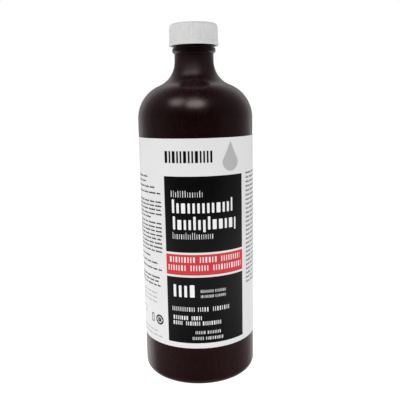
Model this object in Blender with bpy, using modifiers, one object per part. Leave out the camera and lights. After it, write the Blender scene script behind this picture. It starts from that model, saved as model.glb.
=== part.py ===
"""One-pint solution bottle with a screw cap, a sealing wad, a foil seal and a wrap-around label.

Units are metres, +Z is up and the base stands on z = 0. The bottle's axis is the Z axis, the
label's front panel faces -Y and the label's two ends meet at the back, +Y.
"""

from math import acos, atan2, cos, pi, radians, sin, sqrt

import bmesh
import bpy
from mathutils import Matrix

MM = 0.001

# Bottle outside
BODY_RADIUS = 32.6 * MM
CORNER_RADIUS = 4.8 * MM          # between the wall and the standing ring
RING_INNER_RADIUS = 25.2 * MM     # inner edge of the flat standing ring
PUSH_UP = 2.5 * MM                # rise of the base's middle above the ring
SHOULDER_START = 148.7 * MM       # top of the straight wall
SHOULDER_RADIUS = 19.8 * MM
NECK_RADIUS = 11.0 * MM
NECK_FILLET = 14.5 * MM           # concave curve from the shoulder into the neck

# Neck finish, for a 24 mm continuous-thread closure
BEAD_RADIUS = 12.15 * MM
BEAD_BOTTOM = 184.6 * MM
BEAD_TOP = 188.1 * MM
BEAD_LOWER_CHAMFER = 0.8 * MM
BEAD_UPPER_CHAMFER = 0.7 * MM
ROOT_RADIUS = 10.75 * MM          # smooth tube between the thread's turns
LIP_HEIGHT = 197.2 * MM
LIP_CHAMFER = 0.5 * MM
BORE_RADIUS = 8.9 * MM

# Bottle wall
WALL = 1.0 * MM
FLOOR = 1.4 * MM

# Thread, right-hand, single start: the cap's ridge lies half a pitch under the bottle's ridge
PITCH = 3.175 * MM
THREAD_TURNS = 1.25
THREAD_START = 190.9 * MM         # height of the bottle's ridge at angle 0
RIDGE_RADIUS = 0.8 * MM           # radius of the rounded ridge
BOTTLE_RIDGE_CENTRE = 10.95 * MM
CAP_RIDGE_CENTRE = 11.85 * MM
CAP_RIDGE_START_ANGLE = radians(100)
THREAD_STEPS = 40                 # points in one turn
RUN_OUT_STEPS = 5                 # points over which a ridge fades at each end
RUN_OUT_SCALE = 0.3

# Cap
CAP_BOTTOM = 188.7 * MM
CAP_HEIGHT = 11.7 * MM
CAP_TOP_WALL = 1.4 * MM
CAP_LIP_RADIUS = 13.9 * MM
CAP_LIP_HEIGHT = 2.1 * MM
CAP_ROOT_RADIUS = 13.3 * MM       # skirt between the ribs
CAP_TOP_ROOT_RADIUS = 13.2 * MM
CAP_INNER_RADIUS = 12.15 * MM
CAP_CORNER = 1.3 * MM
CAP_ENTRY_CHAMFER = 0.4 * MM
RIB_COUNT = 60
RIB_RADIUS = 0.48 * MM
RIB_SIDES = 8
RIB_CREST_RADIUS = 13.75 * MM
RIB_TOP_GAP = 1.4 * MM            # from the ribs' ends up to the cap's top face

# Wad and foil between the cap's ceiling and the lip
STACK_GAP = 0.2 * MM
SEAL_THICKNESS = 0.2 * MM
SEAL_RADIUS = 10.6 * MM
LINER_THICKNESS = 1.0 * MM
LINER_RADIUS = 11.9 * MM

# Label
LABEL_BOTTOM = 23.0 * MM
LABEL_HEIGHT = 116.0 * MM
LABEL_GAP = 0.15 * MM             # from the wall to the label's back
LABEL_THICKNESS = 0.15 * MM

BODY_STEPS = 64                   # facets round the bottle and the label
WELD = 0.000001
SMOOTH_ANGLE = radians(32)


# Scene set-up

def clear_scene():
    for obj in list(bpy.data.objects):
        bpy.data.objects.remove(obj, do_unlink=True)


def new_collection(name):
    collection = bpy.data.collections.new(name)
    bpy.context.scene.collection.children.link(collection)
    return collection


def plastic(name, colour, roughness, metallic=0.0):
    material = bpy.data.materials.new(name)
    material.use_nodes = True
    shader = material.node_tree.nodes["Principled BSDF"]
    shader.inputs["Base Color"].default_value = (*colour, 1.0)
    shader.inputs["Roughness"].default_value = roughness
    shader.inputs["Metallic"].default_value = metallic
    material.diffuse_color = (*colour, 1.0)
    return material


# Modelling helpers

def arc(centre, radius, start, end, steps, end_radius=None):
    """Points (radius, height) on an arc; its radius grows evenly to end_radius when that is given."""
    last_radius = radius if end_radius is None else end_radius
    points = []
    for i in range(steps + 1):
        share = i / steps
        angle = start + (end - start) * share
        reach = radius + (last_radius - radius) * share
        points.append((centre[0] + reach * cos(angle), centre[1] + reach * sin(angle)))
    return points


def turned(name, profile, steps, collection, sweep=2 * pi):
    """An object whose (radius, height) profile is turned about its Z axis."""
    mesh = bpy.data.meshes.new(name)
    edges = [(i, i + 1) for i in range(len(profile) - 1)]
    mesh.from_pydata([(radius, 0.0, height) for radius, height in profile], edges, [])
    obj = bpy.data.objects.new(name, mesh)
    collection.objects.link(obj)
    screw = obj.modifiers.new("turn", "SCREW")
    screw.axis = "Z"
    screw.angle = sweep
    screw.steps = steps
    screw.render_steps = steps
    screw.use_merge_vertices = True
    screw.merge_threshold = WELD
    return obj


def join_with(obj, cutter, name):
    """Boolean union of a cutter into an object."""
    union = obj.modifiers.new(name, "BOOLEAN")
    union.operation = "UNION"
    union.solver = "EXACT"
    union.object = cutter


def evaluated_mesh(obj):
    depsgraph = bpy.context.evaluated_depsgraph_get()
    return bpy.data.meshes.new_from_object(obj.evaluated_get(depsgraph))


def finish_piece(obj, material):
    """Turn the modifiers into mesh, shade the round faces smooth and give the piece its material."""
    mesh = evaluated_mesh(obj)
    obj.modifiers.clear()
    obj.data = mesh
    mesh.name = obj.name
    mesh.shade_smooth()
    mesh.set_sharp_from_angle(angle=SMOOTH_ANGLE)
    mesh.materials.clear()
    mesh.materials.append(material)


def make_cutter(obj):
    obj.hide_render = True
    obj.display_type = "WIRE"


def ridge(name, centre_radius, start_height, start_angle, sink, cutters):
    """A helical thread ridge that sinks into its wall at both ends; sink is -1 inward, +1 outward."""
    count = round(THREAD_TURNS * THREAD_STEPS)
    curve = bpy.data.curves.new(name, "CURVE")
    curve.dimensions = "3D"
    curve.bevel_depth = RIDGE_RADIUS
    curve.bevel_resolution = 2
    curve.use_fill_caps = True
    spline = curve.splines.new("POLY")
    spline.points.add(count)
    for i, point in enumerate(spline.points):
        fade = min(1.0, i / RUN_OUT_STEPS, (count - i) / RUN_OUT_STEPS)
        scale = RUN_OUT_SCALE + (1.0 - RUN_OUT_SCALE) * fade
        reach = centre_radius + sink * RIDGE_RADIUS * (1.0 - scale)
        angle = start_angle + 2 * pi * i / THREAD_STEPS
        height = start_height + PITCH * (angle / (2 * pi))
        point.co = (reach * cos(angle), reach * sin(angle), height, 1.0)
        point.radius = scale
    wire = bpy.data.objects.new(name + "_wire", curve)
    cutters.objects.link(wire)
    mesh = evaluated_mesh(wire)
    weld = bmesh.new()
    weld.from_mesh(mesh)
    bmesh.ops.remove_doubles(weld, verts=weld.verts, dist=WELD)
    bmesh.ops.recalc_face_normals(weld, faces=weld.faces)
    weld.to_mesh(mesh)
    weld.free()
    obj = bpy.data.objects.new(name, mesh)
    obj.matrix_world = wire.matrix_world
    cutters.objects.link(obj)
    bpy.data.objects.remove(wire, do_unlink=True)
    make_cutter(obj)
    return obj


# Bottle

def dome_radius():
    return (RING_INNER_RADIUS ** 2 + PUSH_UP ** 2) / (2 * PUSH_UP)


def shoulder_centre():
    return BODY_RADIUS - SHOULDER_RADIUS, SHOULDER_START


def fillet_centre():
    """Centre of the neck fillet, which touches the shoulder arc and the neck."""
    across = NECK_RADIUS + NECK_FILLET - shoulder_centre()[0]
    rise = sqrt((SHOULDER_RADIUS + NECK_FILLET) ** 2 - across ** 2)
    return NECK_RADIUS + NECK_FILLET, SHOULDER_START + rise


def shoulder_end_angle():
    """Angle at which the shoulder arc meets the neck fillet."""
    shoulder, fillet = shoulder_centre(), fillet_centre()
    return atan2(fillet[1] - shoulder[1], fillet[0] - shoulder[0])


def bottle_inside():
    """Inner profile, from the middle of the floor up to the lip."""
    dome = dome_radius()
    edge = acos(RING_INNER_RADIUS / dome)
    turn = shoulder_end_angle()
    corner = BODY_RADIUS - CORNER_RADIUS
    inner_corner = CORNER_RADIUS - WALL
    neck_wall = NECK_RADIUS - BORE_RADIUS
    points = arc((0.0, FLOOR + PUSH_UP - dome), dome, pi / 2, edge, 3)
    points += arc((corner, FLOOR + inner_corner), inner_corner, -pi / 2, 0.0, 3)
    points += arc(shoulder_centre(), SHOULDER_RADIUS - WALL, 0.0, turn, 6)[:-1]
    points += arc(fillet_centre(), NECK_FILLET + WALL, pi + turn, pi, 5, NECK_FILLET + neck_wall)
    points += [(BORE_RADIUS, LIP_HEIGHT - LIP_CHAMFER), (BORE_RADIUS + LIP_CHAMFER, LIP_HEIGHT)]
    return points


def bottle_outside():
    """Outer profile, from the lip down to the middle of the base."""
    dome = dome_radius()
    edge = acos(RING_INNER_RADIUS / dome)
    turn = shoulder_end_angle()
    corner = BODY_RADIUS - CORNER_RADIUS
    points = [(ROOT_RADIUS - LIP_CHAMFER, LIP_HEIGHT), (ROOT_RADIUS, LIP_HEIGHT - LIP_CHAMFER)]
    points += [(ROOT_RADIUS, BEAD_TOP), (BEAD_RADIUS, BEAD_TOP - BEAD_UPPER_CHAMFER)]
    points += [(BEAD_RADIUS, BEAD_BOTTOM + BEAD_LOWER_CHAMFER), (NECK_RADIUS, BEAD_BOTTOM)]
    points += arc(fillet_centre(), NECK_FILLET, pi, pi + turn, 8)[:-1]
    points += arc(shoulder_centre(), SHOULDER_RADIUS, turn, 0.0, 10)
    points += arc((corner, CORNER_RADIUS), CORNER_RADIUS, 0.0, -pi / 2, 5)
    points += arc((0.0, PUSH_UP - dome), dome, edge, pi / 2, 4)
    return points


def build_bottle(parts, cutters):
    bottle = turned("bottle", bottle_inside() + bottle_outside(), BODY_STEPS, parts)
    thread = ridge("bottle_ridge", BOTTLE_RIDGE_CENTRE, THREAD_START, 0.0, -1, cutters)
    join_with(bottle, thread, "thread")
    finish_piece(bottle, plastic("maroon_hdpe", (0.012, 0.005, 0.007), 0.32))
    return bottle


# Cap

def cap_profile():
    """Cap profile from the middle of the top face down the outside and up the inside."""
    corner = (CAP_TOP_ROOT_RADIUS - CAP_CORNER, CAP_HEIGHT - CAP_CORNER)
    lip_step = CAP_LIP_RADIUS - CAP_ROOT_RADIUS
    ceiling = CAP_HEIGHT - CAP_TOP_WALL
    points = [(0.0, CAP_HEIGHT)]
    points += arc(corner, CAP_CORNER, pi / 2, 0.0, 4)
    points += [(CAP_ROOT_RADIUS, CAP_LIP_HEIGHT + lip_step), (CAP_LIP_RADIUS, CAP_LIP_HEIGHT)]
    points += [(CAP_LIP_RADIUS, 0.0), (CAP_INNER_RADIUS + CAP_ENTRY_CHAMFER, 0.0)]
    points += [(CAP_INNER_RADIUS, CAP_ENTRY_CHAMFER), (CAP_INNER_RADIUS, ceiling), (0.0, ceiling)]
    return points


def grip_ribs(cutters):
    """The ring of upright grip ribs, as one cutter; each stands in the middle of a skirt facet."""
    bottom = CAP_LIP_HEIGHT / 2
    length = CAP_HEIGHT - RIB_TOP_GAP - bottom
    ring = RIB_CREST_RADIUS - RIB_RADIUS
    to_ring = Matrix.Translation((ring, 0.0, bottom + length / 2))
    flat_outward = Matrix.Rotation(pi / RIB_SIDES, 4, "Z")
    ribs = bmesh.new()
    for i in range(RIB_COUNT):
        place = Matrix.Rotation(2 * pi * (i + 0.5) / RIB_COUNT, 4, "Z") @ to_ring @ flat_outward
        bmesh.ops.create_cone(ribs, cap_ends=True, segments=RIB_SIDES, depth=length,
                              radius1=RIB_RADIUS, radius2=RIB_RADIUS, matrix=place)
    mesh = bpy.data.meshes.new("cap_ribs")
    ribs.to_mesh(mesh)
    ribs.free()
    obj = bpy.data.objects.new("cap_ribs", mesh)
    cutters.objects.link(obj)
    make_cutter(obj)
    return obj


def build_cap(parts, cutters):
    """The cap is modelled with its bottom edge at z = 0, then set at its height on the bottle."""
    start = THREAD_START - PITCH / 2 - CAP_BOTTOM
    cap = turned("cap", cap_profile(), RIB_COUNT, parts)
    join_with(cap, grip_ribs(cutters), "ribs")
    join_with(cap, ridge("cap_ridge", CAP_RIDGE_CENTRE, start, CAP_RIDGE_START_ANGLE, 1, cutters), "thread")
    finish_piece(cap, plastic("white_polypropylene", (0.80, 0.80, 0.79), 0.38))
    cap.location.z = CAP_BOTTOM
    return cap


# Seals and label

def disc(name, radius, thickness, bottom, parts, material):
    profile = [(0.0, thickness), (radius, thickness), (radius, 0.0), (0.0, 0.0)]
    obj = turned(name, profile, BODY_STEPS, parts)
    finish_piece(obj, material)
    obj.location.z = bottom
    return obj


def build_inner_seal(parts):
    foil = plastic("sealing_foil", (0.72, 0.72, 0.73), 0.3, metallic=1.0)
    return disc("inner_seal", SEAL_RADIUS, SEAL_THICKNESS, LIP_HEIGHT + STACK_GAP, parts, foil)


def build_cap_liner(parts):
    foam = plastic("foamed_polyethylene", (0.86, 0.86, 0.84), 0.6)
    bottom = CAP_BOTTOM + CAP_HEIGHT - CAP_TOP_WALL - STACK_GAP - LINER_THICKNESS
    return disc("cap_liner", LINER_RADIUS, LINER_THICKNESS, bottom, parts, foam)


def build_label(parts):
    """One sheet round the wall, one facet short of closing, so that its ends nearly meet."""
    facet = 2 * pi / BODY_STEPS
    radius = BODY_RADIUS + LABEL_GAP
    profile = [(radius, LABEL_HEIGHT), (radius, 0.0)]
    label = turned("label", profile, BODY_STEPS - 1, parts, sweep=2 * pi - facet)
    thickness = label.modifiers.new("thickness", "SOLIDIFY")
    thickness.thickness = LABEL_THICKNESS
    thickness.offset = 1.0
    finish_piece(label, plastic("label_film", (0.78, 0.78, 0.78), 0.4))
    label.location.z = LABEL_BOTTOM
    label.rotation_euler.z = pi / 2
    return label


def main():
    clear_scene()
    parts = new_collection("solution_bottle")
    cutters = new_collection("cutters")
    closure_axis = bpy.data.objects.new("closure_axis", None)
    parts.objects.link(closure_axis)

    bottle = build_bottle(parts, cutters)
    build_label(parts).parent = bottle
    build_inner_seal(parts).parent = bottle
    build_cap_liner(parts).parent = closure_axis
    build_cap(parts, cutters).parent = closure_axis


main()
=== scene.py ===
"""The looks of a screw-capped solution bottle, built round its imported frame.

Every piece is modelled in metres in the frame's own coordinates: +Z up, the base on z = 0, the
label's front panel facing -Y. Heights and radii that the frame gives are read from it; the rest are
named below in millimetres.
"""
import random
from math import acos, atan2, ceil, cos, pi, radians, sin, sqrt, tan

import bpy
import numpy as np
from mathutils import Matrix, Vector


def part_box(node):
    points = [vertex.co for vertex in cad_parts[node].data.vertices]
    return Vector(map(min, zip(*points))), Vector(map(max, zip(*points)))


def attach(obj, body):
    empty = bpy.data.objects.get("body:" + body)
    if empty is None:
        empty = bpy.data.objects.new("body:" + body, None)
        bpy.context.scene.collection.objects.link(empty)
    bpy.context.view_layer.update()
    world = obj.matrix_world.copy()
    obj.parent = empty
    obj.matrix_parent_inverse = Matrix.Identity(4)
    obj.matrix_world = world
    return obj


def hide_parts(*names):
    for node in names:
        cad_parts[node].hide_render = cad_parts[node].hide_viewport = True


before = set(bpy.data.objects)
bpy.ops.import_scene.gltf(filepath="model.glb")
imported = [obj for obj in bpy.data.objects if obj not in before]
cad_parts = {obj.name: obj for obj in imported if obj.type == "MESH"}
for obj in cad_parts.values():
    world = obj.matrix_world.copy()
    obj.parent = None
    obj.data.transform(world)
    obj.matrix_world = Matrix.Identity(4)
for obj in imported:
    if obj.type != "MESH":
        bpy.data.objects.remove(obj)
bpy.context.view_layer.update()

MM = 0.001

# What the frame says
BOTTLE_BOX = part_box("bottle")
CAP_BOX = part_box("cap")
LINER_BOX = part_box("cap_liner")
SEAL_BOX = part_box("inner_seal")
LABEL_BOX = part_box("label")
BODY_RADIUS = BOTTLE_BOX[1].x
LIP_HEIGHT = BOTTLE_BOX[1].z
CAP_BOTTOM = CAP_BOX[0].z
CAP_TOP = CAP_BOX[1].z
CAP_LIP_RADIUS = CAP_BOX[1].x
LABEL_BOTTOM = LABEL_BOX[0].z
LABEL_HEIGHT = LABEL_BOX[1].z - LABEL_BOX[0].z

# Bottle
CORNER_RADIUS = 4.8 * MM          # between the wall and the standing ring
RING_INNER_RADIUS = 25.2 * MM     # inner edge of the flat standing ring
PUSH_UP = 2.5 * MM                # rise of the base's middle above the ring
SHOULDER_START = 148.7 * MM       # top of the straight wall
SHOULDER_RADIUS = 19.8 * MM
NECK_RADIUS = 11.0 * MM
NECK_FILLET = 14.5 * MM           # concave curve from the shoulder into the neck
BEAD_RADIUS = 12.15 * MM
BEAD_BOTTOM = 184.6 * MM
BEAD_TOP = 188.1 * MM
BEAD_LOWER_SLOPE = 0.8 * MM
BEAD_UPPER_SLOPE = 0.7 * MM
ROOT_RADIUS = 10.75 * MM          # smooth tube between the thread's turns
BORE_RADIUS = 8.9 * MM
LIP_ROUNDING = 0.5 * MM           # of the mouth's inner and outer edge
BEAD_ROUNDING = 0.35 * MM
WALL = 1.0 * MM
FLOOR_THICKNESS = 1.4 * MM
WALL_COLUMNS = 192
PARTING_HEIGHT = 0.07 * MM        # the mould's line up both sides
PARTING_HALF_WIDTH = 0.28 * MM
WALL_WAVE = 0.035 * MM
WAVE_RADIUS = 16.0 * MM           # true within this radius, waviest on the straight wall
SCAR_HEIGHT = 0.28 * MM           # pinch-off line under the base
SCAR_HALF_WIDTH = (0.12 * MM, 0.6 * MM)
SCAR_REACH = (21.5 * MM, 24.0 * MM)
WALL_ROUGHNESS = (0.23, 0.29)
# The neck below the bead is matt: more roughness comes in up the first span and down the second
THROAT_FOOT = (171.0 * MM, 176.0 * MM)
THROAT_HEAD = (184.0 * MM, 179.0 * MM)
THROAT_ROUGHNESS = 0.29           # on top of the wall's own
# Plastic colour by height in millimetres: paler low down, darkest on the straight wall, painted light
# on the shoulder's top and neck, painted shade on the bead under the cap
MAROON_PAINTED_LIGHT_AND_SHADE_BY_HEIGHT = (
    (0.0, (0.0110, 0.0014, 0.0026)),
    (24.0, (0.0112, 0.0014, 0.0026)),
    (40.0, (0.0068, 0.0009, 0.0013)),
    (150.0, (0.0068, 0.0009, 0.0013)),
    (158.0, (0.0080, 0.0011, 0.0018)),
    # painted light on the shoulder's top
    (163.0, (0.0132, 0.0028, 0.0048)),
    (168.0, (0.0085, 0.0012, 0.0028)),
    (182.5, (0.0095, 0.0015, 0.0034)),
    # painted shade on the bead, under the cap's skirt
    (185.5, (0.0030, 0.0008, 0.0012)),
    (188.6, (0.0030, 0.0008, 0.0012)),
    (190.5, (0.0100, 0.0019, 0.0037)),
)

# Thread
PITCH = 3.175 * MM
THREAD_TURNS = 1.25
THREAD_START = 190.9 * MM         # height of the bottle's ridge at angle 0
THREAD_DEPTH = 1.0 * MM
THREAD_CREST = 0.4 * MM           # half width of the flat crest
THREAD_FLANK = 0.5 * MM           # width of each sloping flank
THREAD_FADE = radians(38)         # how far round each end takes to run out
CAP_THREAD_OFFSET = radians(100)

# Cap
CAP_INNER_RADIUS = 12.15 * MM
CAP_ROOT_RADIUS = 13.42 * MM      # skirt between the ribs, a little wider than under the corner
CAP_TOP_ROOT_RADIUS = 13.36 * MM
CAP_CORNER = 1.3 * MM
CAP_DISH_RADIUS = 11.1 * MM
CAP_DISH_DEPTH = 0.14 * MM
CAP_GATE_RADIUS = 1.2 * MM        # raised moulding point in the middle of the dish
CAP_EDGE_ROUNDING = 0.25 * MM
CAP_STEP_ROUNDING = 0.3 * MM
CAP_LIP_HEIGHT = 2.1 * MM
CAP_TOP_WALL = 1.4 * MM
RIB_COUNT = 60
RIB_COLUMNS = 8                   # mesh columns in one rib and its valley
RIB_HEIGHT = 0.25 * MM
RIB_SHARE = (0.05, 0.45)          # a rib's flat crest and its foot, as shares of its spacing

# Foil seal
SEAL_DIP = 0.16 * MM              # over the bore
CREASE_HEIGHT = 0.012 * MM

# Label
LABEL_RADIUS = BODY_RADIUS + 0.06 * MM
FILM_THICKNESS = 0.09 * MM
INK_THICKNESS = 0.02 * MM
INK_SINK = 0.004 * MM             # how far ink reaches into the film
WHITE_SINK = 0.012 * MM           # and how far the white reaches into the ink under it
SLIVER = 0.01 * MM                # least height of a printed shape, so that it stays closed
SEAM_ANGLE = 2 * pi / 64          # the gap between the label's ends, at the back
COLUMN_WIDTH = 1.4 * MM           # widest flat facet of anything printed or wrapped

# Camera: its azimuth from the label's middle, its place on that side of the axis, and its aim
CAMERA_AZIMUTH = radians(-8.0)
CAMERA_DISTANCE = 315.4 * MM
CAMERA_HEIGHT = 156.0 * MM
CAMERA_PITCH = radians(-9.91)
CAMERA_YAW = radians(0.317)
CAMERA_ROLL = radians(-1.166)
CAMERA_LENS = 48.87

# Studio, with brightness in scene units where 1 is white
FLOOR_RADIUS = 3.0
FLOOR_GAP = 0.1 * MM
FLOOR_GLOW_NEAR = 1.06
FLOOR_GLOW_FAR = 0.78
FLOOR_GLOW_REACH = (100.0 * MM, 450.0 * MM)
SKY_DIFFUSE = 0.57
KEY_DISTANCE = 1.3
KEY_TARGET = (0.0, 0.0, 120.0 * MM)
# Lights on matt surfaces: azimuth, elevation, width and height in degrees as the bottle sees them,
# and brightness
KEYS = {
    "key_left": (-70.0, 35.0, 45.0, 45.0, 0.76),
    "key_front": (15.0, 40.0, 50.0, 40.0, 0.34),
}
# What shiny surfaces see. The backdrop's brightness goes from the camera's side, 0, round to behind
# the bottle, 1; the table top's goes from level, 0, to straight down, 1
BACKDROP = (
    (0.0, 0.005), (0.08, 0.01), (0.16, 0.05), (0.27, 0.12), (0.4, 0.14),
    (0.58, 0.18), (0.77, 0.36), (0.85, 0.6), (0.92, 0.7), (1.0, 0.15),
)
TABLE_TOP = (
    (0.0, 0.0), (0.19, 0.005), (0.27, 0.36), (0.36, 0.31),
    (0.41, 0.05), (0.5, 0.01), (0.75, 0.04), (1.0, 0.1),
)
OVERHEAD_FADE = (0.72, 1.0)       # of the upward part of a direction, over which the backdrop dims
OVERHEAD_LEAST = 0.05
# Softboxes: azimuth from the camera, elevation, core and edge radius in degrees, and brightness
SOFTBOXES = (
    (-51.0, 50.0, 4.0, 15.0, 4.5),        # the highlight on the left of the shoulder
    (-5.0, 49.0, 4.0, 15.0, 6.0),         # the highlight on its front, made of two
    (7.0, 49.0, 4.0, 15.0, 6.0),
    (-136.0, -23.0, 4.0, 29.0, 1.08),     # low glow on the left wall
    (-2.0, 62.0, 3.0, 14.0, 1.2),         # faint glow above the front highlight
)


# Mesh helpers

def arc(centre, radius, start, end, steps, end_radius=None):
    """Points (radius, height) on an arc whose radius grows evenly to end_radius when given."""
    last = radius if end_radius is None else end_radius
    shares = np.linspace(0.0, 1.0, steps + 1)
    angles = start + (end - start) * shares
    reach = radius + (last - radius) * shares
    return [(centre[0] + q * cos(a), centre[1] + q * sin(a)) for q, a in zip(reach, angles)]


def run(start, end, steps):
    """Evenly spaced points from just after start up to end."""
    return [tuple(np.add(start, np.subtract(end, start) * i / steps)) for i in range(1, steps + 1)]


def smooth(low, high, value):
    """0 to 1 as value goes from low to high, easing in and out."""
    share = np.clip((value - low) / (high - low), 0.0, 1.0)
    return share * share * (3 - 2 * share)


def even_angles(count):
    return np.linspace(0.0, 2 * pi, count, endpoint=False)


def add_object(name, verts, faces, sharp):
    """A smooth-shaded mesh, with creases where its faces meet at more than the sharp angle."""
    mesh = bpy.data.meshes.new(name)
    mesh.from_pydata([tuple(v) for v in verts], [], faces)
    mesh.validate()
    mesh.shade_smooth()
    mesh.set_sharp_from_angle(angle=sharp)
    obj = bpy.data.objects.new(name, mesh)
    bpy.context.scene.collection.objects.link(obj)
    return obj


def turn(name, profile, angles, shape=None, sharp=radians(40)):
    """A closed solid of revolution. shape(radii, heights, angles) may move the points.

    The profile runs from the axis, up the inside, over and down the outside, back to the axis.
    """
    inner = profile[1:-1]
    rows, columns = len(inner), len(angles)
    radii = np.repeat([[r] for r, z in inner], columns, axis=1)
    heights = np.repeat([[z] for r, z in inner], columns, axis=1)
    if shape is not None:
        radii, heights = shape(radii, heights, np.array(angles))
    verts = np.stack([radii * np.cos(angles), radii * np.sin(angles), heights], axis=-1)
    verts = verts.reshape(-1, 3).tolist() + [(0.0, 0.0, profile[0][1]), (0.0, 0.0, profile[-1][1])]
    first, last = rows * columns, rows * columns + 1
    faces = []
    for j in range(columns):
        k = (j + 1) % columns
        faces.append((first, j, k))
        faces.append((last, (rows - 1) * columns + k, (rows - 1) * columns + j))
        for i in range(rows - 1):
            a, b = i * columns, (i + 1) * columns
            faces.append((a + j, b + j, b + k, a + k))
    return add_object(name, verts, faces, sharp)


def place(obj, body, slot_name, material, *nodes):
    """Gives a piece its material and its body, and hides the CAD nodes that it stands for; slot_name
    is not used.
    """
    obj.data.materials.clear()
    obj.data.materials.append(material)
    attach(obj, body)
    if nodes:
        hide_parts(*nodes)


# Materials. An owner is a material or the world; a value or a colour is a node's output

def new_material(name, colour, roughness, metallic=0.0, ior=1.5, **others):
    """A Principled material and its shader. Constant values go straight on the shader's sockets;
    others are sockets under their own names, in lower case and with underscores.
    """
    material = bpy.data.materials.new(name)
    material.use_nodes = True
    shader = material.node_tree.nodes["Principled BSDF"]
    shader.inputs["Base Color"].default_value = (*colour, 1.0)
    shader.inputs["Roughness"].default_value = roughness
    shader.inputs["Metallic"].default_value = metallic
    shader.inputs["IOR"].default_value = ior
    for socket, value in others.items():
        shader.inputs[socket.replace("_", " ").title()].default_value = value
    return material, shader


def put(owner, value, socket):
    """Fills a socket: a node's output is linked to it, anything else stays on it as a constant."""
    if isinstance(value, bpy.types.NodeSocket):
        owner.node_tree.links.new(value, socket)
    else:
        socket.default_value = value


def coordinates(owner, kind="Object"):
    return owner.node_tree.nodes.new("ShaderNodeTexCoord").outputs[kind]


def noise(material, scale, detail=4.0, roughness=0.5, stretch=(1.0, 1.0, 1.0)):
    """A noise texture in the object's own metres; scale is in features a metre."""
    mapping = material.node_tree.nodes.new("ShaderNodeMapping")
    mapping.inputs["Scale"].default_value = stretch
    texture = material.node_tree.nodes.new("ShaderNodeTexNoise")
    texture.inputs["Scale"].default_value = scale
    texture.inputs["Detail"].default_value = detail
    texture.inputs["Roughness"].default_value = roughness
    put(material, coordinates(material), mapping.inputs["Vector"])
    put(material, mapping.outputs["Vector"], texture.inputs["Vector"])
    return texture.outputs["Fac"]


def spread(owner, value, low, high, start=0.3, end=0.7, soft=False):
    """Maps a value from start..end to low..high, easing in and out when soft."""
    node = owner.node_tree.nodes.new("ShaderNodeMapRange")
    if soft:
        node.interpolation_type = "SMOOTHSTEP"
    node.inputs["From Min"].default_value = start
    node.inputs["From Max"].default_value = end
    node.inputs["To Min"].default_value = low
    node.inputs["To Max"].default_value = high
    put(owner, value, node.inputs["Value"])
    return node.outputs["Result"]


def combine(owner, operation, first, second):
    """Joins two values, or a value and a number, by a maths operation."""
    node = owner.node_tree.nodes.new("ShaderNodeMath")
    node.operation = operation
    put(owner, first, node.inputs[0])
    put(owner, second, node.inputs[1])
    return node.outputs["Value"]


def vector_maths(owner, operation, first):
    """A vector maths node with its first vector in place."""
    node = owner.node_tree.nodes.new("ShaderNodeVectorMath")
    node.operation = operation
    put(owner, first, node.inputs[0])
    return node


def scale_colour(owner, colour, factor):
    node = vector_maths(owner, "SCALE", colour)
    put(owner, factor, node.inputs["Scale"])
    return node.outputs["Vector"]


def upward(owner, vector):
    """The vertical part of a place or a direction."""
    split = owner.node_tree.nodes.new("ShaderNodeSeparateXYZ")
    put(owner, vector, split.inputs["Vector"])
    return split.outputs["Z"]


def height_in(material, low, high):
    """0 to 1 as the object's own height goes from low to high."""
    return spread(material, upward(material, coordinates(material)), 0.0, 1.0, low, high)


def colour_ramp(owner, value, stops):
    """A colour through (place from 0 to 1, colour) stops."""
    node = owner.node_tree.nodes.new("ShaderNodeValToRGB")
    while len(node.color_ramp.elements) < len(stops):
        node.color_ramp.elements.new(0.5)
    for element, (position, colour) in zip(node.color_ramp.elements, stops):
        element.position = position
        element.color = (*colour, 1.0)
    put(owner, value, node.inputs["Fac"])
    return node.outputs["Color"]


def mottle(material, shader, value, dark, light):
    """Colours the surface from dark to light by a texture's value."""
    node = material.node_tree.nodes.new("ShaderNodeMix")
    node.data_type = "RGBA"
    factor, first, second, colour = node.inputs[0], node.inputs[6], node.inputs[7], node.outputs[2]
    first.default_value = (*dark, 1.0)
    second.default_value = (*light, 1.0)
    put(material, spread(material, value, 0.0, 1.0), factor)
    put(material, colour, shader.inputs["Base Color"])


def relief(material, shader, layers):
    """Chains bumps; each layer is a texture value and its height in metres."""
    normal = None
    for value, height in layers:
        bump = material.node_tree.nodes.new("ShaderNodeBump")
        bump.inputs["Strength"].default_value = 1.0
        bump.inputs["Distance"].default_value = height
        put(material, value, bump.inputs["Height"])
        if normal is not None:
            put(material, normal, bump.inputs["Normal"])
        normal = bump.outputs["Normal"]
    put(material, normal, shader.inputs["Normal"])


def maroon_plastic():
    """Blow-moulded HDPE: satin, darkest on the straight wall, with painted light and shade by height,
    uneven by a hair, scuffed.
    """
    material, shader = new_material(
        "maroon_hdpe", (0.008, 0.0017, 0.0028), 0.25, specular_tint=(1.0, 0.83, 0.82, 1.0),
        sheen_weight=0.05, sheen_roughness=0.4, sheen_tint=(1.0, 0.22, 0.36, 1.0))
    # The colour by height holds painted light on the shoulder's top and neck and painted shade on the
    # bead under the cap
    stops = [(z * MM / LIP_HEIGHT, colour) for z, colour in MAROON_PAINTED_LIGHT_AND_SHADE_BY_HEIGHT]
    colour = colour_ramp(material, height_in(material, 0.0, LIP_HEIGHT), stops)
    uneven = spread(material, noise(material, 90.0, detail=3.0), 0.9, 1.1)
    put(material, scale_colour(material, colour, uneven), shader.inputs["Base Color"])
    scuff = noise(material, 420.0, detail=3.0, roughness=0.6, stretch=(1.0, 1.0, 0.25))
    throat = combine(material, "MULTIPLY", height_in(material, *THROAT_FOOT),
                     height_in(material, *THROAT_HEAD))
    rough = combine(material, "ADD", combine(material, "MULTIPLY", throat, THROAT_ROUGHNESS),
                    spread(material, scuff, *WALL_ROUGHNESS))
    put(material, rough, shader.inputs["Roughness"])
    wave = noise(material, 55.0, detail=1.5, stretch=(1.0, 1.0, 0.6))
    dimple = noise(material, 170.0, detail=2.0)
    grain = noise(material, 2600.0, detail=2.0)
    relief(material, shader, [(wave, 0.00018), (dimple, 0.00010), (grain, 0.000002)])
    return material


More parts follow.
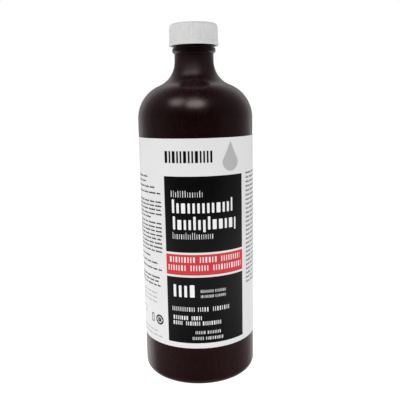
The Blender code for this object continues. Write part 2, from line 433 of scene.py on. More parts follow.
def white_plastic():
    """Injection-moulded polypropylene, slightly translucent, with a fine satin finish."""
    material, shader = new_material(
        "white_polypropylene", (0.72, 0.725, 0.72), 0.38, ior=1.49, subsurface_weight=0.12,
        subsurface_radius=(0.0012, 0.0011, 0.0010), subsurface_scale=1.0)
    flow = noise(material, 120.0, detail=3.0)
    mottle(material, shader, flow, (0.680, 0.686, 0.682), (0.715, 0.718, 0.712))
    satin = noise(material, 1500.0, detail=4.0)
    put(material, spread(material, satin, 0.33, 0.45), shader.inputs["Roughness"])
    relief(material, shader, [(satin, 0.000006)])
    return material


def foam():
    """Closed-cell polyethylene foam: soft, matt, finely pitted."""
    material, shader = new_material("foamed_polyethylene", (0.80, 0.80, 0.77), 0.72)
    cells = material.node_tree.nodes.new("ShaderNodeTexVoronoi")
    cells.inputs["Scale"].default_value = 3200.0
    put(material, coordinates(material), cells.inputs["Vector"])
    shade = noise(material, 700.0)
    mottle(material, shader, shade, (0.76, 0.76, 0.73), (0.83, 0.83, 0.80))
    put(material, spread(material, shade, 0.66, 0.8), shader.inputs["Roughness"])
    relief(material, shader, [(cells.outputs["Distance"], 0.00003), (shade, 0.00002)])
    return material


def foil():
    """Lacquered aluminium seal with a brushed grain."""
    material, shader = new_material("sealing_foil", (0.74, 0.74, 0.75), 0.3, metallic=1.0)
    grain = noise(material, 900.0, detail=3.0, stretch=(1.0, 9.0, 1.0))
    mottle(material, shader, noise(material, 260.0), (0.68, 0.68, 0.70), (0.78, 0.78, 0.78))
    put(material, spread(material, grain, 0.22, 0.38), shader.inputs["Roughness"])
    relief(material, shader, [(grain, 0.000008)])
    return material


def varnish(material, shader, low, high):
    """The varnish over film and ink alike: a finely grained roughness, low to high, and a ripple."""
    grain = noise(material, 1900.0, detail=3.0)
    put(material, spread(material, grain, low, high), shader.inputs["Roughness"])
    ripple = noise(material, 110.0, detail=1.0, stretch=(1.0, 1.0, 0.35))
    relief(material, shader, [(ripple, 0.00006), (grain, 0.000004)])


def label_film():
    """White polypropylene label film under a satin varnish."""
    material, shader = new_material("label_film", (0.77, 0.772, 0.772), 0.36,
                                    coat_weight=0.15, coat_roughness=0.3)
    cloud = noise(material, 60.0, detail=2.0)
    mottle(material, shader, cloud, (0.760, 0.762, 0.762), (0.785, 0.786, 0.785))
    varnish(material, shader, 0.32, 0.42)
    return material


def ink(name, colour, roughness):
    """A plain ink; the varnish over it gives its gloss a fine mottle."""
    material, shader = new_material(name, colour, roughness)
    varnish(material, shader, roughness - 0.05, roughness + 0.06)
    return material


# Bottle

def base_dome():
    """The push-up's radius, and the angle above level at which it meets the standing ring."""
    radius = (RING_INNER_RADIUS ** 2 + PUSH_UP ** 2) / (2 * PUSH_UP)
    return radius, acos(RING_INNER_RADIUS / radius)


def shoulder_centre():
    return BODY_RADIUS - SHOULDER_RADIUS, SHOULDER_START


def fillet_centre():
    across = NECK_RADIUS + NECK_FILLET - shoulder_centre()[0]
    rise = sqrt((SHOULDER_RADIUS + NECK_FILLET) ** 2 - across ** 2)
    return NECK_RADIUS + NECK_FILLET, SHOULDER_START + rise


def shoulder_end_angle():
    shoulder, fillet = shoulder_centre(), fillet_centre()
    return atan2(fillet[1] - shoulder[1], fillet[0] - shoulder[0])


def bottle_inside():
    """Inner profile, from the middle of the floor up to the bore's mouth."""
    dome, edge = base_dome()
    angle = shoulder_end_angle()
    inner_corner = CORNER_RADIUS - WALL
    corner = (BODY_RADIUS - CORNER_RADIUS, FLOOR_THICKNESS + inner_corner)
    neck_wall = NECK_RADIUS - BORE_RADIUS
    mouth = (BORE_RADIUS + LIP_ROUNDING, LIP_HEIGHT - LIP_ROUNDING)
    points = arc((0.0, FLOOR_THICKNESS + PUSH_UP - dome), dome, pi / 2, edge, 6)
    points += arc(corner, inner_corner, -pi / 2, 0.0, 6)
    points += arc(shoulder_centre(), SHOULDER_RADIUS - WALL, 0.0, angle, 12)[:-1]
    points += arc(fillet_centre(), NECK_FILLET + WALL, pi + angle, pi, 10, NECK_FILLET + neck_wall)
    points += arc(mouth, LIP_ROUNDING, pi, pi / 2, 5)
    return points


def bead_points():
    """The transfer bead under the cap, from its upper foot to its lower one, with rounded corners."""
    upper, lower = BEAD_TOP - BEAD_UPPER_SLOPE, BEAD_BOTTOM + BEAD_LOWER_SLOPE
    rounding = BEAD_ROUNDING
    reach = BEAD_RADIUS - rounding
    points = [(ROOT_RADIUS, BEAD_TOP)]
    points += run(points[-1], (reach, upper + rounding * 0.35), 3)
    points += arc((reach, upper - rounding * 0.65), rounding, radians(70), 0.0, 4)
    points += arc((reach, lower + rounding * 0.5), rounding, 0.0, radians(-55), 4)
    points += run(points[-1], (NECK_RADIUS + 0.1 * MM, BEAD_BOTTOM), 3)
    return points


def bottle_outside():
    """Outer profile, from the lip down to the middle of the base."""
    dome, edge = base_dome()
    angle = shoulder_end_angle()
    corner = (BODY_RADIUS - CORNER_RADIUS, CORNER_RADIUS)
    lip = (ROOT_RADIUS - LIP_ROUNDING, LIP_HEIGHT - LIP_ROUNDING)
    ring_edge = 0.5 * MM
    points = arc(lip, LIP_ROUNDING, pi / 2, 0.0, 5)
    points += run(points[-1], (ROOT_RADIUS, BEAD_TOP), 62)[:-1]
    points += bead_points()
    points += run(points[-1], (NECK_RADIUS, BEAD_BOTTOM - 0.5 * MM), 2)
    points += arc(fillet_centre(), NECK_FILLET, pi, pi + angle, 32)
    points += arc(shoulder_centre(), SHOULDER_RADIUS, angle, 0.0, 40)[1:]
    points += run(points[-1], (BODY_RADIUS, CORNER_RADIUS), 30)
    points += arc(corner, CORNER_RADIUS, 0.0, -pi / 2, 12)[1:]
    points += run(points[-1], (RING_INNER_RADIUS + ring_edge, 0.0), 2)
    points += [(RING_INNER_RADIUS, 0.12 * MM)]
    points += arc((0.0, PUSH_UP - dome), dome, edge, pi / 2, 24)[2:]
    return points


def helix_ridge(radii, heights, angles, start_height, start_angle):
    """How far a fading single-start thread stands out of a tube at each mesh point."""
    ridge = np.zeros_like(radii)
    length = 2 * pi * THREAD_TURNS
    for lap in range(ceil(THREAD_TURNS) + 1):
        travelled = (angles[None, :] - start_angle) % (2 * pi) + 2 * pi * lap
        centre = start_height + PITCH * (start_angle + travelled) / (2 * pi)
        across = np.abs(heights - centre)
        hill = 1.0 - smooth(THREAD_CREST, THREAD_CREST + THREAD_FLANK, across)
        ends = smooth(0.0, THREAD_FADE, travelled)
        ends = ends * (1.0 - smooth(length - THREAD_FADE, length, travelled))
        ridge = np.maximum(ridge, hill * ends)
    return ridge * THREAD_DEPTH


def slow_wave(heights, angles):
    """Two crossed sets of waves, in radians round the bottle and radians a metre up it."""
    wave = np.sin(3 * angles[None, :] + heights * 41) * np.sin(heights * 63 + 0.7)
    return wave + 0.5 * np.sin(5 * angles[None, :] - heights * 97 + 2.0)


def shape_bottle(inside_rows):
    """Adds the thread, the mould's parting line, the wall's slight unevenness and the base's scar."""
    def shape(radii, heights, angles):
        outside = np.arange(len(radii))[:, None] >= inside_rows
        finish = outside & (heights > BEAD_TOP + 0.2 * MM) & (heights < LIP_HEIGHT - 0.3 * MM)
        thread = helix_ridge(radii, heights, angles, THREAD_START, 0.0)
        from_line = np.abs((angles + pi / 2) % pi - pi / 2)[None, :] * radii
        seam = (1.0 - smooth(0.0, PARTING_HALF_WIDTH, from_line)) * PARTING_HEIGHT
        broad = smooth(WAVE_RADIUS, BODY_RADIUS, radii)
        hollow = broad * WALL_WAVE * (1 + slow_wave(heights, angles))
        on_wall = smooth(1.0 * MM, 5.0 * MM, heights) * outside
        grown = radii + finish * thread + on_wall * (seam - hollow)
        under = outside & (heights < 2 * PUSH_UP) & (radii < RING_INNER_RADIUS)
        scar = 1.0 - smooth(*SCAR_HALF_WIDTH, np.abs(radii * np.sin(angles)[None, :]))
        scar *= 1.0 - smooth(*SCAR_REACH, radii)
        return grown, heights - under * scar * SCAR_HEIGHT
    return shape


def wall_angles(columns, line_angles, offsets):
    """Even angles, with extra ones close beside each parting line."""
    angles = set(np.round(even_angles(columns), 6))
    for line in line_angles:
        for offset in offsets:
            angles.add(round((line + offset) % (2 * pi), 6))
    return sorted(angles)


def build_bottle():
    inside, outside = bottle_inside(), bottle_outside()
    beside = PARTING_HALF_WIDTH / BODY_RADIUS
    offsets = [-beside, -beside / 2, beside / 2, beside]
    angles = wall_angles(WALL_COLUMNS, (0.0, pi), offsets)
    bottle = turn("bottle_shell", inside + outside, angles, shape_bottle(len(inside) - 1))
    place(bottle, "bottle", "bottle", maroon_plastic(), "bottle")


# Cap

def cap_outside():
    """From the middle of the top out over the rounded corner and down the ribs and the lip."""
    gate, dish = CAP_GATE_RADIUS, CAP_DISH_DEPTH
    floor = CAP_TOP - dish
    points = [(0.0, CAP_TOP - 0.01 * MM), (gate * 0.4, CAP_TOP - 0.015 * MM)]
    points += [(gate * 0.7, CAP_TOP - 0.05 * MM), (gate, floor), (gate * 1.3, floor)]
    points += run(points[-1], (CAP_DISH_RADIUS - 0.4 * MM, floor), 4)
    points += [(CAP_DISH_RADIUS - 0.2 * MM, CAP_TOP - dish * 0.85)]
    points += [(CAP_DISH_RADIUS, CAP_TOP - dish * 0.15), (CAP_DISH_RADIUS + 0.15 * MM, CAP_TOP)]
    corner = (CAP_TOP_ROOT_RADIUS - CAP_CORNER, CAP_TOP - CAP_CORNER)
    points += arc(corner, CAP_CORNER, pi / 2, 0.0, 9)
    edge, step = CAP_EDGE_ROUNDING, CAP_STEP_ROUNDING
    lip_top = CAP_BOTTOM + CAP_LIP_HEIGHT
    points += run(points[-1], (CAP_ROOT_RADIUS + 0.02 * MM, lip_top + 0.22 * MM), 26)
    points += arc((CAP_LIP_RADIUS - 0.12 * MM - step, lip_top - 0.1 * MM), step, pi / 2, 0.0, 4)
    points += run(points[-1], (CAP_LIP_RADIUS, CAP_BOTTOM + edge), 4)
    points += arc((CAP_LIP_RADIUS - edge, CAP_BOTTOM + edge), edge, 0.0, -pi / 2, 4)[1:]
    return points


def cap_inside():
    """From the bottom edge up the inner wall to the middle of the ceiling."""
    ceiling = CAP_TOP - CAP_TOP_WALL
    entry = 0.4 * MM
    points = [(CAP_INNER_RADIUS + entry, CAP_BOTTOM + 0.05 * MM)]
    points += run(points[-1], (CAP_INNER_RADIUS, CAP_BOTTOM + 0.6 * MM), 3)
    points += run(points[-1], (CAP_INNER_RADIUS, ceiling - 0.4 * MM), 56)
    points += [(CAP_INNER_RADIUS - 0.4 * MM, ceiling), (CAP_INNER_RADIUS * 0.5, ceiling)]
    points += [(0.0, ceiling)]
    return points


def shape_cap(outside_rows):
    """Adds the grip ribs and the inner thread."""
    def shape(radii, heights, angles):
        outside = np.arange(len(radii))[:, None] < outside_rows
        start = THREAD_START - PITCH / 2
        thread = helix_ridge(radii, heights, angles, start, CAP_THREAD_OFFSET)
        bare = ~outside & (radii > CAP_INNER_RADIUS - 0.01 * MM)
        across = np.abs((angles[None, :] * RIB_COUNT / (2 * pi) + 0.5) % 1.0 - 0.5)
        rib = 1.0 - smooth(*RIB_SHARE, across)
        lip_top = CAP_BOTTOM + CAP_LIP_HEIGHT
        low = smooth(lip_top, lip_top + 0.25 * MM, heights)
        high = 1.0 - smooth(CAP_TOP - 1.9 * MM, CAP_TOP - 0.9 * MM, heights)
        wall = outside & (radii > CAP_TOP_ROOT_RADIUS - CAP_CORNER)
        grown = radii + wall * rib * low * high * RIB_HEIGHT - bare * thread
        return grown, heights
    return shape


def build_cap():
    outside, inside = cap_outside(), cap_inside()
    angles = even_angles(RIB_COUNT * RIB_COLUMNS)
    cap = turn("cap_shell", outside + inside, angles, shape_cap(len(outside) - 1))
    place(cap, "cap", "cap", white_plastic(), "cap")


# Liner and seal

def build_liner():
    """A foam disc under the cap's ceiling, printed by the bottle's lip."""
    bottom, top = LINER_BOX[0].z, CAP_TOP - CAP_TOP_WALL - 0.02 * MM
    radius, edge, print_depth = LINER_BOX[1].x, 0.3 * MM, 0.12 * MM
    profile = [(0.0, top), (radius * 0.5, top)]
    profile += arc((radius - edge, top - edge), edge, pi / 2, 0.0, 4)
    profile += arc((radius - edge, bottom + edge), edge, 0.0, -pi / 2, 4)
    profile += [(ROOT_RADIUS + 0.25 * MM, bottom), (ROOT_RADIUS, bottom + print_depth)]
    profile += [(BORE_RADIUS + 0.1 * MM, bottom + print_depth), (BORE_RADIUS - 0.2 * MM, bottom)]
    profile += [(radius * 0.4, bottom), (0.0, bottom)]
    liner = turn("cap_liner_disc", profile, even_angles(144))
    place(liner, "liner", "cap_liner", foam(), "cap_liner")


def shape_seal(radii, heights, angles):
    """Fine radial creases where the foil was drawn down on the lip, and a crinkle within."""
    rim = smooth(BORE_RADIUS - 1.5 * MM, BORE_RADIUS, radii)
    crease = np.sin(29 * angles + 1.3 * np.sin(3 * angles)) + 0.6 * np.sin(47 * angles + 2.0)
    crinkle = np.cos(radii * 2600) * np.sin(2 * angles + radii * 900)
    return radii, heights + (rim * crease + (1 - rim) * crinkle) * CREASE_HEIGHT


def build_seal():
    """The foil seal bonded to the lip, dished a little over the bore."""
    radius, dip, edge = SEAL_BOX[1].x, SEAL_DIP, 0.04 * MM
    bottom = LIP_HEIGHT + 0.03 * MM
    top = bottom + 0.16 * MM
    profile = [(0.0, top - dip)] + run((0.0, top - dip), (BORE_RADIUS - 1.0 * MM, top - dip), 12)
    profile += [(BORE_RADIUS - 0.5 * MM, top - dip * 0.8), (BORE_RADIUS - 0.1 * MM, top - dip * 0.2)]
    profile += run((BORE_RADIUS - 0.1 * MM, top), (radius - edge, top), 3)
    profile += [(radius, top - edge), (radius, bottom + edge), (radius - edge, bottom)]
    profile += [(BORE_RADIUS - 0.1 * MM, bottom), (BORE_RADIUS - 0.5 * MM, bottom - dip)]
    profile += [(radius * 0.3, bottom - dip), (0.0, bottom - dip)]
    seal = turn("lip_seal_foil", profile, even_angles(240), shape_seal)
    place(seal, "bottle", "inner_seal", foil(), "inner_seal")


# Label: u runs round the body from the front panel's middle, positive to the right; v runs up

def on_body(u, v, radius):
    """The point at u, v on a wrap of that radius."""
    azimuth = u / BODY_RADIUS
    return radius * sin(azimuth), -radius * cos(azimuth), LABEL_BOTTOM + v


class Sheet:
    """Gathers closed flakes of film or ink, curved round the body between two heights over it."""

    def __init__(self, name, low, high):
        self.name = name
        self.low = LABEL_RADIUS + low
        self.high = LABEL_RADIUS + high
        self.verts = []
        self.faces = []

    def flake(self, columns):
        """One closed flake; columns are (u, lower v, upper v) from left to right."""
        base = len(self.verts)
        for u, lower, upper in columns:
            self.verts += [on_body(u, lower, self.high), on_body(u, upper, self.high)]
            self.verts += [on_body(u, lower, self.low), on_body(u, upper, self.low)]
        for i in range(len(columns) - 1):
            a, b = base + 4 * i, base + 4 * i + 4
            self.faces += [(a, b, b + 1, a + 1), (a + 2, a + 3, b + 3, b + 2)]
            self.faces += [(a + 1, b + 1, b + 3, a + 3), (a, a + 2, b + 2, b)]
        end = base + 4 * (len(columns) - 1)
        self.faces += [(base, base + 1, base + 3, base + 2), (end, end + 2, end + 3, end + 1)]

    def bar(self, left, right, bottom, top, corner=0.0):
        """A rectangle, its ends rounded by corner or by less where that is half of a side."""
        span = right - left
        corner = min(corner, span * 0.49, (top - bottom) * 0.49)
        ends = [0.0, 0.3 * corner, corner] if corner > 0.0 else [0.0]
        middle = max(1, ceil((span - 2 * corner) / COLUMN_WIDTH))
        stops = [left + e for e in ends]
        stops += [left + corner + (span - 2 * corner) * i / middle for i in range(1, middle)]
        stops += [right - e for e in reversed(ends)]
        columns = []
        for u in stops:
            inset = min(u - left, right - u, corner)
            cut = corner - sqrt(max(0.0, corner ** 2 - (corner - inset) ** 2)) if corner > 0.0 else 0.0
            cut *= 0.94           # leaves the very end a height of its own
            columns.append((u, bottom + cut, top - cut))
        self.flake(columns)

    def build(self, material, *nodes):
        sheet = add_object(self.name, self.verts, self.faces, radians(30))
        place(sheet, "bottle", "label", material, *nodes)


def ring(sheet, u, v, outer, inner, steps=14):
    """A flat ring, in an upper and a lower half."""
    for side in (1, -1):
        columns = []
        for i in range(steps + 1):
            across = -outer * cos(pi * i / steps)
            far = sqrt(max(outer ** 2 - across ** 2, 0.0))
            near = sqrt(max(inner ** 2 - across ** 2, 0.0))
            far = max(far, near + SLIVER)
            low, high = (near, far) if side > 0 else (-far, -near)
            columns.append((u + across, v + low, v + high))
        sheet.flake(columns)


def droplet(sheet, u, v, size, steps=20):
    """A drop of liquid, as tall as its size: a round belly under sides that draw in to a point."""
    radius = size * 0.32
    belly = v - size * 0.5 + radius
    tip = v + size * 0.5
    columns = []
    for i in range(steps + 1):
        across = -radius * cos(pi * i / steps)
        lower = belly - sqrt(max(radius ** 2 - across ** 2, 0.0))
        share = 1.0 - abs(across) / radius
        draw = (tip - belly) * share ** 1.35
        bulge = radius * 0.62 * sqrt(share) * (1 - share)
        columns.append((u + across, lower, max(belly + draw + bulge, lower + SLIVER)))
    sheet.flake(columns)


def words(rng, left, right, average, gap):
    """Word-like stretches of about the average length that fill a line from left to right."""
    count = max(1, round((right - left + gap) / (average + gap)))
    weights = [rng.uniform(0.55, 1.45) for _ in range(count)]
    unit = (right - left - gap * (count - 1)) / sum(weights)
    start = left
    for weight in weights:
        yield start, start + weight * unit
        start += weight * unit + gap


def text_line(sheet, rng, left, right, bottom, height):
    """A line of small print, each word a plain bar with a few taller strokes.

    All its widths and spaces are shares of the line's height.
    """
    for start, end in words(rng, left, right, 3.6 * height, 0.75 * height):
        sheet.bar(start, end, bottom, bottom + height * 0.6)
        stroke = start + rng.uniform(0.1, 0.6) * height
        while stroke < end - 0.4 * height:
            sheet.bar(stroke, stroke + 0.22 * height, bottom + height * 0.58, bottom + height)
            stroke += rng.uniform(1.0, 2.6) * height


def stems(sheet, rng, left, right, bottom, x_height, top, stroke, gap, below=0.0):
    """A large word as upright strokes, some taller, some hanging below, none of them a letter."""
    start = left
    tall = True
    while start < right - stroke * 0.5:
        width = stroke * rng.choice(STROKE_WIDTHS)
        end = min(start + width, right)
        foot = bottom - (below if rng.random() < HANGING_SHARE else 0.0)
        sheet.bar(start, end, foot, top if tall else bottom + x_height, stroke * STROKE_ROUNDING)
        tall = rng.random() < TALL_SHARE
        start = end + gap


def stem_words(sheet, rng, left, right, bottom, height, stroke, gap):
    """A line of capitals as upright strokes, about eight of them to a word."""
    pitch = stroke * 1.2 + gap
    for start, end in words(rng, left, right, 8 * pitch, 1.3 * pitch):
        stems(sheet, rng, start, end, bottom, height, bottom + height, stroke, gap)


def outline(sheet, left, right, bottom, top, stroke):
    """An upright rectangle drawn by its four sides."""
    sheet.bar(left, left + stroke, bottom, top)
    sheet.bar(right - stroke, right, bottom, top)
    sheet.bar(left + stroke, right - stroke, bottom, bottom + stroke)
    sheet.bar(left + stroke, right - stroke, top - stroke, top)


# What is printed, in millimetres of u and v

PANEL = (-22.85, 23.05)
PANEL_UPPER = (54.8, 96.1)
PANEL_LOWER = (3.0, 40.9)
BAND = (42.1, 53.6)
# A word's strokes: widths as multiples of its plain stroke, the shares of them that stand tall and
# hang below, and the rounding of their ends as a share of the plain stroke
STROKE_WIDTHS = (1.0, 1.0, 1.7)
TALL_SHARE = 0.22
HANGING_SHARE = 0.12
STROKE_ROUNDING = 0.18
# Large words: left, right, foot, height of a low stroke, top of a tall one, stroke, gap, and how far
# a stroke may hang below the foot
HEADER = (-22.0, 4.0, 103.2, 6.3, 109.5, 0.95, 0.9, 0.0)
PANEL_WORDS = (
    (-18.8, -1.3, 85.0, 2.7, 88.5, 0.21, 1.0, 1.0),
    (-18.4, 15.6, 76.4, 5.4, 83.8, 1.3, 1.3, 0.0),
    (-18.1, 17.7, 67.4, 5.4, 74.6, 1.3, 1.3, 1.3),
    (-18.4, 3.7, 62.2, 2.7, 65.9, 0.27, 0.9, 1.0),
    (-18.8, -5.7, 29.6, 6.6, 36.6, 1.5, 1.6, 0.0),
)
# Lines of capitals: left, right, foot, height, stroke and gap
PANEL_LINES = (
    (-3.5, 10.9, 32.2, 1.6, 0.19, 0.5),
    (-3.5, 10.9, 29.3, 1.6, 0.19, 0.5),
    (-19.8, 12.7, 21.45, 2.5, 0.38, 0.82),
    (-19.3, -3.3, 16.55, 2.3, 0.45, 0.66),
    (-19.4, 7.5, 13.45, 2.3, 0.45, 0.66),
    (-6.8, 7.4, 8.4, 1.8, 0.31, 0.64),
    (-8.5, 8.6, 5.0, 1.8, 0.31, 0.64),
)
BAND_LINES = (
    (-20.5, 20.5, 49.2, 3.1, 0.54, 0.96),
    (-21.5, 21.5, 44.6, 3.1, 0.54, 0.96),
)
# Plain marks: rings by their middle, outer and inner radius, a drop by its middle and height, and an
# outline by its left, right, foot, top and stroke
BLACK_RINGS = ((-29.3, 13.8, 3.0, 1.95), (-29.3, 13.8, 1.35, 0.3))
RED_RING = (-46.4, 16.6, 2.5, 2.15)
DROPLET = (14.8, 106.2, 16.0)
OUTLINE = (-36.5, -34.1, 11.4, 16.4, 0.55)
# Small print. The left column has its left and right edge, then the height of each line's foot and
# how far its end falls short of the right edge
LINE_HEIGHT = 1.35
LEFT_LINE_HEIGHT = 0.9 * LINE_HEIGHT
GREY_LINE_HEIGHT = 1.1
LEFT_COLUMN = (-56.0, -25.2)
LEFT_LINES = (
    (94.6, 11.0), (91.9, 13.0), (89.0, 4.8), (85.9, 0.5),
    (81.1, 0.2), (78.9, 0.0), (76.7, 0.6), (74.3, 0.0), (72.1, 9.0), (69.2, 0.4), (66.9, 0.0),
    (64.7, 0.4), (62.4, 0.0), (60.2, 1.0), (57.9, 0.4), (55.6, 0.2), (53.3, 0.6), (49.8, 11.0),
    (46.3, 4.5), (42.8, 1.0), (38.1, 3.0), (35.8, 4.0), (33.5, 2.5),
)
# Fainter, smaller lines of the same column: left, right and foot
LEFT_GREY_LINES = (
    (-52.0, -31.5, 6.0), (-52.0, -27.5, 3.3),
    (-60.0, -31.0, 28.6), (-60.0, -31.0, 26.0), (-60.0, -31.0, 23.4),
)
# The right column: its edges, the foot of its top line, and how far its lines fall short
RIGHT_COLUMN = (27.0, 61.0)
RIGHT_TOP_FOOT = 95.4
RIGHT_LINE_COUNT = 26
RIGHT_PARAGRAPH = 6               # lines from one short last line to the next
RIGHT_SPACING = 2.5
RIGHT_SHORT = (0.0, 0.8, 1.5, 3.0)
RIGHT_LAST_SHORT = 16.0
# The two columns at the back, set in the same way
BACK_COLUMNS = ((-98.0, -65.0), (66.0, 96.0))
BACK_HEADINGS = ((-98.0, -65.0), (66.0, 88.0))
BACK_HEADING_SPAN = (106.4, 108.6)
BACK_HEADING_ROUNDING = 0.4
BACK_TOP_FOOT = 103.0
BACK_LINE_COUNT = 36
BACK_PARAGRAPH = 7
BACK_SPACING = (2.4, 3.9)         # within a paragraph and after it
BACK_SHORT = (0.0, 3.0)
BACK_LAST_SHORT = 14.0


def metres(*lengths):
    """Lengths of the label's layout, in metres."""
    return [length * MM for length in lengths]


def film_sheet():
    film = Sheet("label_film_wrap", 0.0, FILM_THICKNESS)
    half = pi * BODY_RADIUS
    film.bar(-half, half - SEAM_ANGLE * BODY_RADIUS, 0.0, LABEL_HEIGHT)
    film.build(label_film(), "label")


def print_panels(black):
    for span in (PANEL_UPPER, PANEL_LOWER):
        black.bar(*metres(*PANEL, *span))


def print_header(black, grey, rng):
    stems(black, rng, *metres(*HEADER))
    droplet(grey, *metres(*DROPLET))


def print_panel_text(white, rng):
    """The front panel's words, reversed out of the black."""
    for word in PANEL_WORDS:
        stems(white, rng, *metres(*word))
    for line in PANEL_LINES:
        stem_words(white, rng, *metres(*line))


def print_band(red, white, rng):
    red.bar(*metres(*PANEL, *BAND))
    for line in BAND_LINES:
        stem_words(white, rng, *metres(*line))


def print_left_column(black, grey, red, rng):
    left, right = LEFT_COLUMN
    for foot, short in LEFT_LINES:
        text_line(black, rng, *metres(left, right - short, foot, LEFT_LINE_HEIGHT))
    for line in LEFT_GREY_LINES:
        text_line(grey, rng, *metres(*line, GREY_LINE_HEIGHT))
    for mark in BLACK_RINGS:
        ring(black, *metres(*mark))
    outline(black, *metres(*OUTLINE))
    ring(red, *metres(*RED_RING))


def print_right_column(soft_black, rng):
    left, right = RIGHT_COLUMN
    for i in range(RIGHT_LINE_COUNT):
        last = i % RIGHT_PARAGRAPH == RIGHT_PARAGRAPH - 1
        short = RIGHT_LAST_SHORT if last else rng.choice(RIGHT_SHORT)
        foot = RIGHT_TOP_FOOT - RIGHT_SPACING * i
        text_line(soft_black, rng, *metres(left, right - short, foot, LINE_HEIGHT))


def print_back_columns(soft_black, rng):
    """The turned-away side of the label, laid out like the columns that show."""
    for left, right in BACK_COLUMNS:
        foot = BACK_TOP_FOOT
        for i in range(BACK_LINE_COUNT):
            last = i % BACK_PARAGRAPH == BACK_PARAGRAPH - 1
            short = BACK_LAST_SHORT if last else rng.uniform(*BACK_SHORT)
            text_line(soft_black, rng, *metres(left, right - short, foot, LINE_HEIGHT))
            foot -= BACK_SPACING[last]
    for left, right in BACK_HEADINGS:
        soft_black.bar(*metres(left, right, *BACK_HEADING_SPAN, BACK_HEADING_ROUNDING))


def build_label():
    rng = random.Random(24)
    film_sheet()
    lift = FILM_THICKNESS - INK_SINK
    top = FILM_THICKNESS + INK_THICKNESS
    black = Sheet("label_print_black", lift, top)
    grey = Sheet("label_print_grey", lift, top)
    side = Sheet("label_print_side_black", lift, top)
    soft = Sheet("label_print_soft_black", lift, top)
    red = Sheet("label_print_red", lift, top)
    white = Sheet("label_print_white", top - WHITE_SINK, top + INK_THICKNESS)
    print_panels(black)
    print_header(black, grey, rng)
    print_panel_text(white, rng)
    print_band(red, white, rng)
    print_left_column(side, grey, red, rng)
    print_right_column(soft, rng)
    print_back_columns(soft, rng)
    black.build(ink("ink_black", (0.0016, 0.0015, 0.0019), 0.2))
    grey.build(ink("ink_grey", (0.47, 0.47, 0.472), 0.4))
    side.build(ink("ink_side_black", (0.03, 0.03, 0.031), 0.38))
    soft.build(ink("ink_soft_black", (0.16, 0.16, 0.162), 0.4))
    red.build(ink("ink_red", (0.66, 0.022, 0.032), 0.38))
    white.build(ink("ink_white", (0.88, 0.88, 0.88), 0.38))


# Studio

def direction(azimuth, elevation=0.0):
    """Unit vector towards an azimuth, 0 in front of the label and positive to its right."""
    flat = cos(elevation)
    return Vector((flat * sin(azimuth), -flat * cos(azimuth), sin(elevation)))


def build_floor():
    """A pale table top, glowing a little more around the bottle than far off."""
    bpy.ops.mesh.primitive_circle_add(vertices=96, radius=FLOOR_RADIUS, fill_type="NGON",
                                      location=(0.0, 0.0, -FLOOR_GAP))
    floor = bpy.context.object
    floor.name = "floor"
    material, shader = new_material("pale_floor", (0.6, 0.6, 0.6), 0.8,
                                    emission_color=(1.0, 1.0, 1.0, 1.0))
    shader.inputs["Specular IOR Level"].default_value = 0.0
    away = vector_maths(material, "LENGTH", coordinates(material)).outputs["Value"]
    glow = spread(material, away, FLOOR_GLOW_NEAR, FLOOR_GLOW_FAR, *FLOOR_GLOW_REACH, soft=True)
    put(material, glow, shader.inputs["Emission Strength"])
    floor.data.materials.append(material)
    floor.visible_glossy = False


def build_key(name, azimuth, elevation, width, height, radiance):
    """A rectangular light on matt surfaces, width and height in degrees as the bottle sees it."""
    light = bpy.data.lights.new(name, "AREA")
    light.shape = "RECTANGLE"
    light.size = 2 * KEY_DISTANCE * tan(radians(width) / 2)
    light.size_y = 2 * KEY_DISTANCE * tan(radians(height) / 2)
    light.energy = radiance * pi * light.size * light.size_y
    obj = bpy.data.objects.new(name, light)
    towards = direction(radians(azimuth), radians(elevation))
    obj.location = Vector(KEY_TARGET) + towards * KEY_DISTANCE
    obj.rotation_euler = towards.to_track_quat("Z", "Y").to_euler()
    obj.visible_glossy = False
    bpy.context.scene.collection.objects.link(obj)


def facing(world, view, towards):
    """The cosine of the angle between the view and a direction."""
    node = vector_maths(world, "DOT_PRODUCT", view)
    put(world, towards, node.inputs[1])
    return node.outputs["Value"]


def greys(stops):
    return [(position, (value, value, value)) for position, value in stops]


def shiny_studio(world):
    """The brightness that shiny surfaces see: a backdrop, a table top and softboxes in the dark."""
    view = coordinates(world, "Generated")
    rise = upward(world, view)
    away = facing(world, view, direction(CAMERA_AZIMUTH) * -1.0)
    backdrop = colour_ramp(world, spread(world, away, 0.0, 1.0, -1.0, 1.0), greys(BACKDROP))
    overhead = spread(world, rise, 1.0, OVERHEAD_LEAST, *OVERHEAD_FADE, soft=True)
    table_top = colour_ramp(world, spread(world, rise, 0.0, 1.0, 0.0, -1.0), greys(TABLE_TOP))
    seen = combine(world, "ADD", scale_colour(world, backdrop, overhead), table_top)
    for azimuth, elevation, core, edge, radiance in SOFTBOXES:
        towards = direction(CAMERA_AZIMUTH + radians(azimuth), radians(elevation))
        glow = spread(world, facing(world, view, towards), 0.0, radiance,
                      cos(radians(edge)), cos(radians(core)), soft=True)
        seen = combine(world, "MAXIMUM", seen, glow)
    return seen


def background(world, strength):
    node = world.node_tree.nodes.new("ShaderNodeBackground")
    node.inputs["Color"].default_value = (1.0, 1.0, 1.0, 1.0)
    put(world, strength, node.inputs["Strength"])
    return node.outputs["Background"]


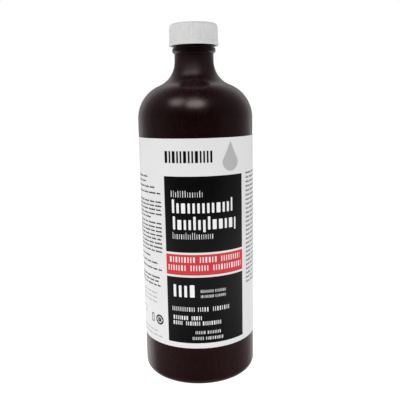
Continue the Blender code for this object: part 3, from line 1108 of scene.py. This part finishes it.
def choose(world, question, no, yes):
    """One shader where a light path's answer is no and another where it is yes."""
    node = world.node_tree.nodes.new("ShaderNodeMixShader")
    for value, socket in zip((question, no, yes), node.inputs):
        put(world, value, socket)
    return node.outputs["Shader"]


def build_world():
    """White to the camera, an even fill to matt surfaces and a painted studio to shiny ones."""
    world = bpy.data.worlds.new("studio")
    bpy.context.scene.world = world
    world.use_nodes = True
    world.cycles.sampling_method = "NONE"
    nodes = world.node_tree.nodes
    nodes.clear()
    ray = nodes.new("ShaderNodeLightPath").outputs
    lighting = choose(world, ray["Is Glossy Ray"], background(world, SKY_DIFFUSE),
                      background(world, shiny_studio(world)))
    shown = choose(world, ray["Is Camera Ray"], lighting, background(world, 1.0))
    put(world, shown, nodes.new("ShaderNodeOutputWorld").inputs["Surface"])


def build_camera():
    camera = bpy.data.cameras.new("camera")
    camera.lens = CAMERA_LENS
    camera.sensor_width = 36.0
    camera.clip_start = 0.01
    obj = bpy.data.objects.new("camera", camera)
    bpy.context.scene.collection.objects.link(obj)
    spin = Matrix.Rotation(CAMERA_AZIMUTH, 3, "Z")
    ahead = spin @ Vector((sin(CAMERA_YAW) * cos(CAMERA_PITCH), cos(CAMERA_YAW) * cos(CAMERA_PITCH),
                           sin(CAMERA_PITCH)))
    right = ahead.cross(Vector((0.0, 0.0, 1.0))).normalized()
    up = right.cross(ahead)
    across = cos(CAMERA_ROLL) * right + sin(CAMERA_ROLL) * up
    upward = cos(CAMERA_ROLL) * up - sin(CAMERA_ROLL) * right
    matrix = Matrix((across, upward, -ahead)).transposed().to_4x4()
    matrix.translation = spin @ Vector((0.0, -CAMERA_DISTANCE, CAMERA_HEIGHT))
    obj.matrix_world = matrix
    bpy.context.scene.camera = obj


def build_studio():
    bpy.context.scene.view_settings.view_transform = "Standard"
    build_world()
    build_floor()
    for name, settings in KEYS.items():
        build_key(name, *settings)
    build_camera()


build_bottle()
build_cap()
build_liner()
build_seal()
build_label()
build_studio()

bpy.context.view_layer.update()
